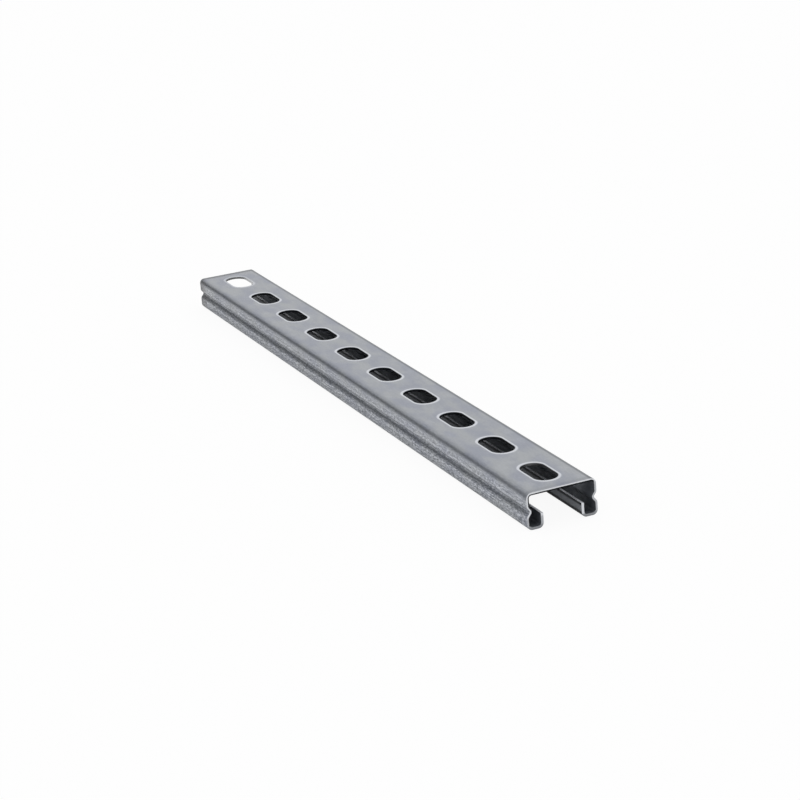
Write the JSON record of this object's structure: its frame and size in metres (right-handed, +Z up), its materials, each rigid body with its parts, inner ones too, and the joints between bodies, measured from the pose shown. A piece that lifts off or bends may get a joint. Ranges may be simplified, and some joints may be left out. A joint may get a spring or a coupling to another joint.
{
  "type": "slotted strut channel",
  "caption": "Shallow galvanised steel strut channel with inturned lips, a V groove along each wall and a row of slots in the web, for bolting pipe and cable supports to.",
  "frame": {"origin": "middle of the underside, on the plane that the lips rest on", "axes": "+X along the rail, +Y across it, +Z up from the open side to the slotted web"},
  "size_m": [0.5, 0.0412, 0.0206],
  "materials": {
    "galvanised_steel": "pre-galvanised strip, satin with a fine spangle"
  },
  "bodies": {
    "root": {"strut_channel": "galvanised_steel"}
  },
  "joints": []
}
